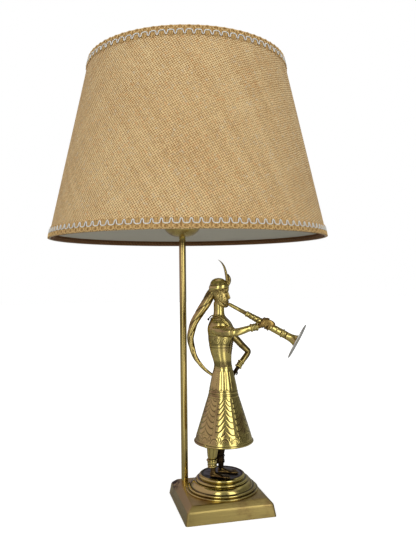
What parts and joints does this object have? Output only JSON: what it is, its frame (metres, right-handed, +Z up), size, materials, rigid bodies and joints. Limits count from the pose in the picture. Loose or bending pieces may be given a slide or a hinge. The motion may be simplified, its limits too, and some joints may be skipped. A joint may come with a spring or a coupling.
{
  "type": "table lamp",
  "caption": "Tall table lamp with a burlap empire shade on an offset brass post, beside a cast brass figure blowing a long horn on a turned plinth and square base.",
  "frame": {"origin": "middle of the square base's underside, on the surface that the lamp stands on", "axes": "+Z up along the post, +X to the right along the base's front side, +Y to the back, towards the post and the cord inlet"},
  "size_m": [0.4011, 0.4012, 0.6497],
  "materials": {
    "old_brass": "aged cast and sheet brass, brushed, brown in the hollows",
    "dark_bronze": "dark oxidised brass",
    "bright_brass": "polished brass",
    "post_brass": "brass tube with brown patina",
    "steel": "plain steel fixings",
    "iron": "rough cast",
    "felt": "green felt over hardboard",
    "black_rubber": "moulded",
    "phenolic": "dark moulding",
    "fibre": "fibre insulating sleeve",
    "aluminium": "drawn cap and screw shell",
    "solder": "insulator with a solder contact",
    "glass": "frosted",
    "burlap": "coarse plain weave with slubs",
    "lining": "stiff laminate",
    "hem_tape": "rolled tape",
    "gimp": "braided trim, white cord and golden loops"
  },
  "bodies": {
    "stand": {"base_shell": "old_brass", "base_plate": "felt", "base_weight": "iron", "cord_grommet": "black_rubber", "post": "post_brass", "post_washer": "steel", "post_nut": "bright_brass", "plinth": "old_brass", "plinth_bar": "steel", "plinth_screw": "steel", "foot_screws": "steel", "feet": "dark_bronze", "legs": "dark_bronze", "anklets": "dark_bronze", "hip_plate": "dark_bronze", "skirt": "old_brass", "torso": "old_brass", "head": "old_brass", "cap": "old_brass", "plume": "dark_bronze", "braid": "dark_bronze", "sash": "dark_bronze", "tassel": "dark_bronze", "right_arm": "old_brass", "left_arm": "dark_bronze", "cuffs": "dark_bronze", "right_hand": "dark_bronze", "left_hand": "dark_bronze", "horn_tube": "old_brass", "horn_bell": "dark_bronze", "nipple": "bright_brass", "holder_cup": "old_brass", "cup_plate": "old_brass", "harp_saddle": "bright_brass", "saddle_nut": "bright_brass", "socket_cap": "old_brass", "socket_shell": "old_brass", "socket_liner": "fibre", "socket_block": "phenolic", "screw_shell": "aluminium", "centre_contact": "bright_brass"},
    "switch": {"switch_shaft": "steel", "switch_knob": "phenolic"},
    "bulb_tip": {"bulb_tip": "solder"},
    "bulb": {"bulb_cap": "aluminium", "bulb_glass": "glass"},
    "harp": {"harp": "bright_brass", "harp_stud": "bright_brass"},
    "left_sleeve": {"left_sleeve": "bright_brass"},
    "right_sleeve": {"right_sleeve": "bright_brass"},
    "shade": {"shade_spider": "bright_brass", "top_ring": "bright_brass", "bottom_ring": "bright_brass", "shade_lining": "lining", "shade_cover": "burlap", "bottom_hem": "hem_tape", "top_gimp": "gimp", "bottom_gimp": "gimp"},
    "finial_washer": {"finial_washer": "bright_brass"},
    "finial": {"finial": "bright_brass"}
  },
  "joints": [
    {"name": "harp_lift", "type": "slide", "parent": "stand", "child": "harp", "axis": [0, 0, 1], "range_m": [0, 0.025]},
    {"name": "left_sleeve_slide", "type": "slide", "parent": "harp", "child": "left_sleeve", "axis": [0, 0, 1], "range_m": [0, 0.012]},
    {"name": "right_sleeve_slide", "type": "slide", "parent": "harp", "child": "right_sleeve", "axis": [0, 0, 1], "range_m": [0, 0.012]},
    {"name": "shade_turn", "type": "hinge", "parent": "harp", "child": "shade", "pos_m": [-0.0333, 0.0391, 0.6205], "axis": [0, 0, 1], "continuous": true},
    {"name": "finial_lift", "type": "slide", "parent": "harp", "child": "finial_washer", "axis": [0, 0, 1], "range_m": [0, 0.0058]},
    {"name": "finial_turn", "type": "hinge", "parent": "finial_washer", "child": "finial", "pos_m": [-0.0333, 0.0391, 0.6235], "axis": [0, 0, 1], "range_deg": [0, 2160]},
    {"name": "bulb_lift", "type": "slide", "parent": "stand", "child": "bulb_tip", "axis": [0, 0, 1], "range_m": [0, 0.0218]},
    {"name": "bulb_turn", "type": "hinge", "parent": "bulb_tip", "child": "bulb", "pos_m": [-0.0425, 0.041, 0.4481], "axis": [0, 0, 1], "range_deg": [0, 2160]},
    {"name": "switch_turn", "type": "hinge", "parent": "stand", "child": "switch", "pos_m": [-0.0425, 0.0235, 0.4255], "axis": [0, -1, 0], "continuous": true}
  ],
  "couplings": [
    {"joint": "finial_lift", "follows": "finial_turn", "m_per_rad": 0.0001512},
    {"joint": "bulb_lift", "follows": "bulb_turn", "m_per_rad": 0.00057615}
  ]
}
